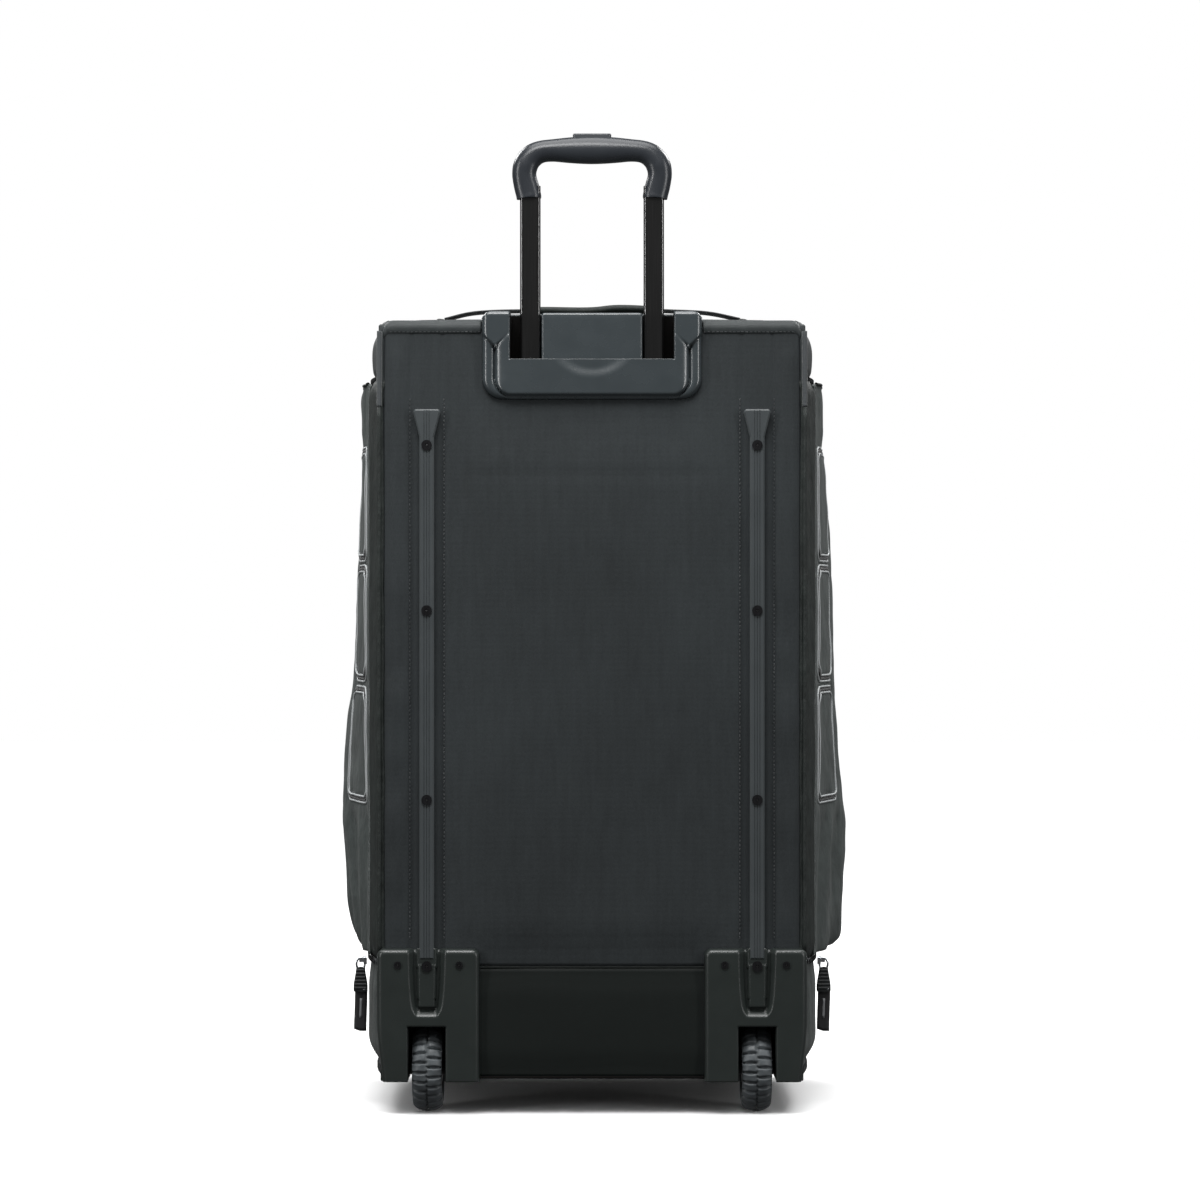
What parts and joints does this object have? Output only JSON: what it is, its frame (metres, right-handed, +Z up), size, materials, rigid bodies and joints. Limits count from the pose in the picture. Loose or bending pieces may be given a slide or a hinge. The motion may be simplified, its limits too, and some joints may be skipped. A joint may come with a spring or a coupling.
{
  "type": "rolling bowling bag",
  "caption": "Tall soft bag on two corner wheels with a telescopic handle, ball bays, a shoe compartment, a zipped lid and bulging side pockets.",
  "frame": {"origin": "on the floor, under the middle of the bag's outer box", "axes": "+Z up, +Y to the ball door and front pocket, -Y to the wheels and handle, +X to the right seen from the wheel side"},
  "size_m": [0.5265, 0.344, 0.9824],
  "materials": {
    "back_fabric": "dense woven nylon, quilted over foam, faint sheen",
    "lower_fabric": "smooth coated nylon",
    "body_fabric": "woven nylon over foam",
    "pocket_fabric": "smooth shiny nylon",
    "lid_fabric": "woven nylon over foam",
    "door_fabric": "woven nylon over foam",
    "piping": "light grey reflective piping",
    "binding": "grosgrain binding",
    "board": "stiffened board in lining cloth",
    "lining": "plain lining cloth",
    "foam": "closed-cell foam",
    "tray_plastic": "grained, moulded",
    "webbing": "polypropylene webbing",
    "housing_plastic": "grained, moulded",
    "rail_plastic": "smooth extrusion",
    "bezel_plastic": "fine spark texture",
    "nylon": "natural moulded",
    "grip_plastic": "soft-touch",
    "button_plastic": "fine texture",
    "tube_black": "gloss black anodised aluminium",
    "steel": "bright",
    "screw_black": "black oxide",
    "tyre_rubber": "moulded tread",
    "hub_plastic": "moulded",
    "zip_black": "coil zip and tape",
    "zip_metal": "nickel plated",
    "pull_rubber": "ribbed, moulded"
  },
  "bodies": {
    "bag": {"back_panel": "back_fabric", "lower_back_panel": "lower_fabric", "front_upper_panel": "body_fabric", "top_rear_corners": "body_fabric", "compartment_floor": "board", "ball_shelf": "board", "upper_shelf": "board", "ball_cups": "foam", "base_tray": "tray_plastic", "wheel_axles": "steel", "wheel_spacers": "nylon", "screws": "screw_black", "trolley_bezel": "bezel_plastic", "tube_guides": "nylon", "tube_foot_bracket": "nylon", "front_feet": "tray_plastic", "zip_chains": "zip_black", "side_panel_left": "body_fabric", "side_panel_right": "body_fabric", "base_wall_left": "body_fabric", "base_wall_right": "body_fabric", "side_pocket_left": "pocket_fabric", "side_pocket_right": "pocket_fabric", "wheel_housing_left": "housing_plastic", "wheel_housing_right": "housing_plastic", "skid_rail_left": "rail_plastic", "skid_rail_right": "rail_plastic", "outer_tube_left": "tube_black", "outer_tube_right": "tube_black"},
    "trolley": {"grip": "grip_plastic", "tube_plugs": "nylon", "inner_tube_left": "tube_black", "inner_tube_right": "tube_black"},
    "release_button": {"release_button": "button_plastic", "push_rods": "steel", "button_spring": "steel"},
    "lock_pin_left": {"lock_pin_left": "steel"},
    "lock_pin_right": {"lock_pin_right": "steel"},
    "wheel_left": {"tyre_left": "tyre_rubber", "hub_left": "hub_plastic", "bearings_left": "steel"},
    "wheel_right": {"tyre_right": "tyre_rubber", "hub_right": "hub_plastic", "bearings_right": "steel"},
    "top_lid": {"lid_top": "lid_fabric", "lid_skirt": "lid_fabric", "top_handle": "webbing"},
    "ball_door": {"ball_door": "door_fabric", "front_pocket": "pocket_fabric"},
    "shoe_flap": {"shoe_flap": "door_fabric"},
    "zip_slider_door": {"zip_slider_door": "zip_metal"},
    "zip_pull_door": {"zip_pull_door": "pull_rubber"},
    "zip_slider_lid_left": {"zip_slider_lid_left": "zip_metal"},
    "zip_pull_lid_left": {"zip_pull_lid_left": "pull_rubber"},
    "zip_slider_lid_right": {"zip_slider_lid_right": "zip_metal"},
    "zip_pull_lid_right": {"zip_pull_lid_right": "pull_rubber"},
    "zip_slider_lower_left": {"zip_slider_lower_left": "zip_metal"},
    "zip_pull_lower_left": {"zip_pull_lower_left": "pull_rubber"},
    "zip_slider_lower_right": {"zip_slider_lower_right": "zip_metal"},
    "zip_pull_lower_right": {"zip_pull_lower_right": "pull_rubber"}
  },
  "joints": [
    {"name": "trolley_slide", "type": "slide", "parent": "bag", "child": "trolley", "axis": [0, 0, 1], "range_m": [-0.15, 0.15]},
    {"name": "button_press", "type": "slide", "parent": "trolley", "child": "release_button", "axis": [0, 0, -1], "range_m": [0, 0.004], "stiffness_N_per_m": 600, "springref_m": -0.006, "deforming": ["button_spring"]},
    {"name": "lock_pin_right_slide", "type": "slide", "parent": "trolley", "child": "lock_pin_right", "axis": [-1, 0, 0], "range_m": [0, 0.003]},
    {"name": "lock_pin_left_slide", "type": "slide", "parent": "trolley", "child": "lock_pin_left", "axis": [1, 0, 0], "range_m": [0, 0.003]},
    {"name": "wheel_right_spin", "type": "hinge", "parent": "bag", "child": "wheel_right", "pos_m": [0.165, -0.129, 0.043], "axis": [1, 0, 0], "continuous": true},
    {"name": "wheel_left_spin", "type": "hinge", "parent": "bag", "child": "wheel_left", "pos_m": [-0.165, -0.129, 0.043], "axis": [1, 0, 0], "continuous": true},
    {"name": "lid_hinge", "type": "hinge", "parent": "bag", "child": "top_lid", "pos_m": [0, -0.118, 0.8], "axis": [1, 0, 0], "range_deg": [0, 75]},
    {"name": "ball_door_hinge", "type": "hinge", "parent": "bag", "child": "ball_door", "pos_m": [0, 0.135, 0.156], "axis": [-1, 0, 0], "range_deg": [0, 105]},
    {"name": "shoe_flap_hinge", "type": "hinge", "parent": "bag", "child": "shoe_flap", "pos_m": [0, 0.131, 0.042], "axis": [-1, 0, 0], "range_deg": [0, 95]},
    {"name": "door_zip_slide", "type": "slide", "parent": "ball_door", "child": "zip_slider_door", "axis": [0, 0, 1], "range_m": [0, 0.36]},
    {"name": "door_pull_hinge", "type": "hinge", "parent": "zip_slider_door", "child": "zip_pull_door", "pos_m": [0.1648, 0.1416, 0.2], "axis": [1, 0, 0], "range_deg": [0, 100]},
    {"name": "lid_zip_right_slide", "type": "slide", "parent": "bag", "child": "zip_slider_lid_right", "axis": [1, 0, 0], "range_m": [0, 0.15]},
    {"name": "lid_pull_right_hinge", "type": "hinge", "parent": "zip_slider_lid_right", "child": "zip_pull_lid_right", "pos_m": [0.007, 0.1426, 0.738], "axis": [1, 0, 0], "range_deg": [0, 80]},
    {"name": "lid_zip_left_slide", "type": "slide", "parent": "bag", "child": "zip_slider_lid_left", "axis": [-1, 0, 0], "range_m": [0, 0.15]},
    {"name": "lid_pull_left_hinge", "type": "hinge", "parent": "zip_slider_lid_left", "child": "zip_pull_lid_left", "pos_m": [-0.007, 0.1426, 0.738], "axis": [1, 0, 0], "range_deg": [0, 80]},
    {"name": "lower_zip_right_slide", "type": "slide", "parent": "bag", "child": "zip_slider_lower_right", "axis": [0.1018, 0.9948, 0], "range_m": [0, 0.08]},
    {"name": "lower_pull_right_hinge", "type": "hinge", "parent": "zip_slider_lower_right", "child": "zip_pull_lower_right", "pos_m": [0.23479, -0.11067, 0.1495], "axis": [-0.1018, -0.9948, 0], "range_deg": [0, 70]},
    {"name": "lower_zip_left_slide", "type": "slide", "parent": "bag", "child": "zip_slider_lower_left", "axis": [-0.1018, 0.9948, 0], "range_m": [0, 0.08]},
    {"name": "lower_pull_left_hinge", "type": "hinge", "parent": "zip_slider_lower_left", "child": "zip_pull_lower_left", "pos_m": [-0.23479, -0.11067, 0.1495], "axis": [-0.1018, 0.9948, 0], "range_deg": [0, 70]}
  ],
  "couplings": [
    {"joint": "lock_pin_right_slide", "follows": "button_press", "ratio": 0.75},
    {"joint": "lock_pin_left_slide", "follows": "button_press", "ratio": 0.75}
  ]
}
